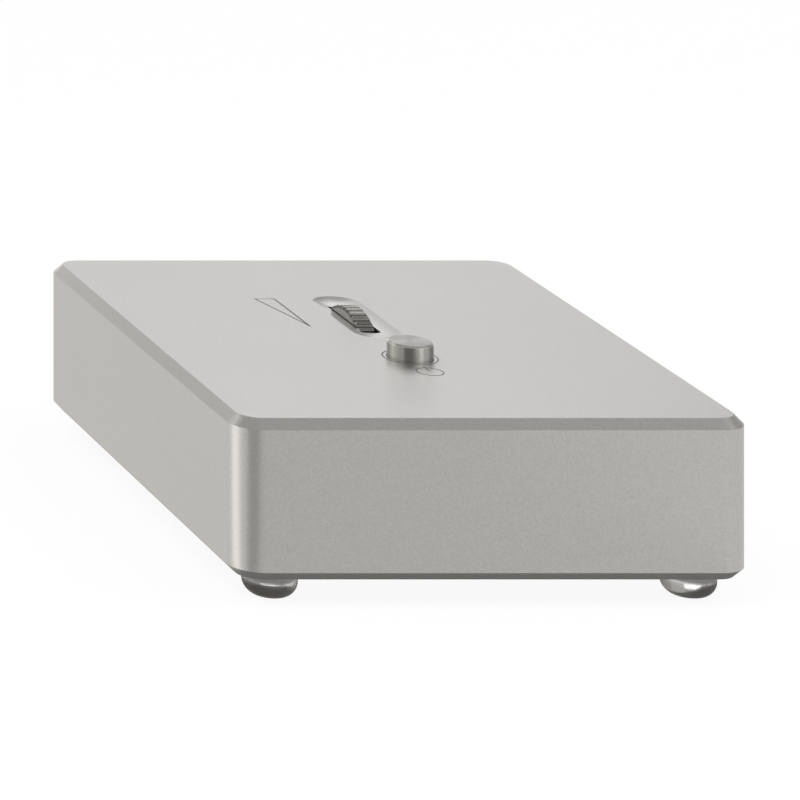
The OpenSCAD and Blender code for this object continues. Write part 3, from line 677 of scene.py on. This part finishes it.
# --- Studio -------------------------------------------------------------------
# A pale floor under a white tent. Two soft lamps light it from above, and only the
# metal and the clear feet see the bright and dark cards, which draw their bands.
def seen_directly(tree):
    """1 for rays from the camera, a mirror or clear plastic, and 0 for the rest."""
    rays = tree.nodes.new("ShaderNodeLightPath")
    kinds = ("Is Camera Ray", "Is Glossy Ray", "Is Transmission Ray")
    camera_ray, glossy, through = (Signal(tree, rays.outputs[kind]) for kind in kinds)
    return camera_ray + glossy + through


floor_w, floor_drop = 6, 0.1
floor_glow_share = 0.93
bpy.ops.mesh.primitive_plane_add(size=floor_w, location=(0, 0, -floor_drop * MM))
floor = bpy.context.object
floor.name = "floor"
paper, place = new_finish("white_paper", {"Roughness": 0.9})
feed(paper, base_color=tint(grain(place, 40, 2), (0.89, 0.89, 0.89), (0.91, 0.91, 0.91)))
tree = paper.node_tree
white = seen_directly(tree)
glow = white.node("ShaderNodeEmission", {}, {"Color": (1, 1, 1, 1), "Strength": 1.0})
share = white * floor_glow_share
diffuse = Signal(tree, tree.nodes["Principled BSDF"].outputs[0])
both = white.node("ShaderNodeMixShader", {}, {0: share, 1: diffuse, 2: glow})
tree.links.new(both.socket, tree.nodes["Material Output"].inputs["Surface"])
floor.data.materials.append(paper)

tent = bpy.data.worlds.new("tent")
bpy.context.scene.world = tent
tent.use_nodes = True
tree = tent.node_tree
white = seen_directly(tree)
soft = white.node("ShaderNodeBackground", {}, {"Color": (1, 1, 1, 1), "Strength": 0.6})
bright = white.node("ShaderNodeBackground", {}, {"Color": (1, 1, 1, 1), "Strength": 1.0})
both = white.node("ShaderNodeMixShader", {}, {0: white, 1: soft, 2: bright})
tree.links.new(both.socket, tree.nodes["World Output"].inputs["Surface"])


def facing(spot, target):
    """The turn that points an object's -Z from a spot to a target."""
    return (target - spot).to_track_quat("-Z", "Y").to_euler()


aim = Vector((0, 0, 20 * MM))
for name, spot, size, watts in (
    ("lamp_left", Vector((-0.7, -0.5, 1.2)), 0.8, 9.0),
    ("lamp_right", Vector((0.8, -0.2, 1.1)), 0.8, 6.0),
):
    lamp_data = bpy.data.lights.new(name, "AREA")
    lamp_data.shape = "DISK"
    lamp_data.size = size
    lamp_data.energy = watts
    lamp = bpy.data.objects.new(name, lamp_data)
    bpy.context.scene.collection.objects.link(lamp)
    lamp.location = spot
    lamp.rotation_euler = facing(spot, aim)
    lamp.visible_camera = False
    lamp.visible_glossy = False


def hang(made, level):
    """Makes a sheet glow at this level, for mirrors and clear plastic alone."""
    paint = bpy.data.materials.new(made.name)
    paint.use_nodes = True
    shader = paint.node_tree.nodes["Principled BSDF"]
    shader.inputs["Base Color"].default_value = (0, 0, 0, 1)
    shader.inputs["Specular IOR Level"].default_value = 0
    shader.inputs["Emission Color"].default_value = (*level, 1)
    shader.inputs["Emission Strength"].default_value = 1
    made.data.materials.append(paint)
    made.visible_camera = made.visible_diffuse = made.visible_shadow = False


warm = Vector((1.01, 0.99, 0.96))


def card(name, start, end, low, high, level):
    """A curved card 1 m away: bearings from the front towards the left, and elevations."""
    steps = 12
    bottom, top = math.tan(math.radians(low)), math.tan(math.radians(high))
    bpy.ops.mesh.primitive_plane_add(size=2)
    made = bpy.context.object
    made.name = name
    bpy.ops.object.mode_set(mode="EDIT")
    bpy.ops.mesh.subdivide(number_cuts=steps - 1)
    bpy.ops.object.mode_set(mode="OBJECT")
    for corner in made.data.vertices:
        bearing = math.radians(start + (end - start) * (corner.co.x + 1) / 2)
        height = bottom + (top - bottom) * (corner.co.y + 1) / 2
        corner.co = (-math.sin(bearing), -math.cos(bearing), height)
    hang(made, level)


for name, start, end, low, high, level in (
    ("far_left_low", 138, 165, 0, 12, 0.86),
    ("far_left", 138, 165, 12, 28, 0.58),
    ("far_left_high", 138, 165, 28, 45, 0.77),
    ("left_pale", 122, 138, 0, 45, 1.10),
    ("left_softbox", 106, 122, 0, 45, 1.60),
    ("left_fill", 84, 106, 0, 45, 1.05),
    ("left_flag", 50, 84, 0, 45, 0.78),
    ("black_flag", 5, 50, 0, 45, 0.20),
    ("front_flag", -8, 5, 0, 45, 0.48),
    ("front_fill", -26, -8, 0, 45, 0.95),
    ("front_softbox", -46, -26, 0, 45, 1.80),
    ("right_fill", -85, -46, 0, 45, 1.03),
    ("right_grey", -125, -85, 0, 45, 0.45),
):
    card(name, start, end, low, high, level * warm)
for name, start, end, low, high, level in (
    ("rear_left_lowest", 165, 190, 0, 10, 1.17),
    ("rear_left_low", 165, 190, 10, 20, 0.88),
    ("rear_left_high", 165, 190, 20, 32, 0.69),
    ("rear_left_highest", 165, 190, 32, 45, 1.11),
    ("rear_lowest", 190, 212, 0, 10, 1.95),
    ("rear_low", 190, 212, 10, 20, 0.50),
    ("rear_high", 190, 212, 20, 32, 1.50),
    ("rear_highest", 190, 212, 32, 45, 1.65),
    ("rear_right_low", 212, 235, 0, 20, 0.62),
    ("rear_right_high", 212, 235, 20, 45, 0.24),
):
    card(name, start, end, low, high, (level, level, level))


def flat_card(name, start, end, height, level):
    """A level card with these least and greatest x and y."""
    bpy.ops.mesh.primitive_plane_add(size=2)
    made = bpy.context.object
    made.name = name
    for corner in made.data.vertices:
        corner.co = (
            start[0] if corner.co.x < 0 else end[0],
            start[1] if corner.co.y < 0 else end[1],
            height,
        )
    hang(made, (1.01 * level, level, 0.98 * level))


# The sheets on the floor lie between it and the feet, each 0.01 mm over the last.
table_z, wedge_z, side_z, under_z = (-0.07 * MM, -0.06 * MM, -0.05 * MM, -0.04 * MM)
ceiling_z = 1.0
flat_card("ceiling_front", (-1, -1), (1, 0), ceiling_z, 0.50)
flat_card("ceiling_rear", (-1, 0), (1, 1), ceiling_z, 0.42)
flat_card("table", (-0.6, -0.6), (0.6, 0.6), table_z, 0.65)
flat_card("floor_right", (0.057, -0.2), (0.6, 0.1), side_z, 0.77)
# Painted shadow: a dark sheet under the case, seen only in mirrors and through the feet, stands
# in for the case's shadow on the floor
flat_card("painted_shadow_under_case", (-0.05, -0.0625), (0.056, 0.0625), under_z, 0.20)


def floor_card(name, start, end, level):
    """A wedge of the table top beyond the front left corner, between two bearings."""
    steps, reach = 6, 0.8
    bpy.ops.mesh.primitive_circle_add(vertices=steps + 2, radius=reach, fill_type="NGON")
    made = bpy.context.object
    made.name = name
    corner_x, corner_y = -0.05, -0.0624
    made.data.vertices[0].co = (corner_x, corner_y, wedge_z)
    for step in range(steps + 1):
        bearing = math.radians(start + (end - start) * step / steps)
        x, y = corner_x - reach * math.sin(bearing), corner_y - reach * math.cos(bearing)
        made.data.vertices[step + 1].co = (x, y, wedge_z)
    hang(made, level * warm)


floor_card("floor_front", -90, 5, 0.68)
floor_card("floor_shade", 5, 50, 0.45)
floor_card("floor_left", 50, 84, 0.79)
floor_card("floor_glow", 84, 118, 1.45)
floor_card("floor_far_left", 118, 180, 0.81)
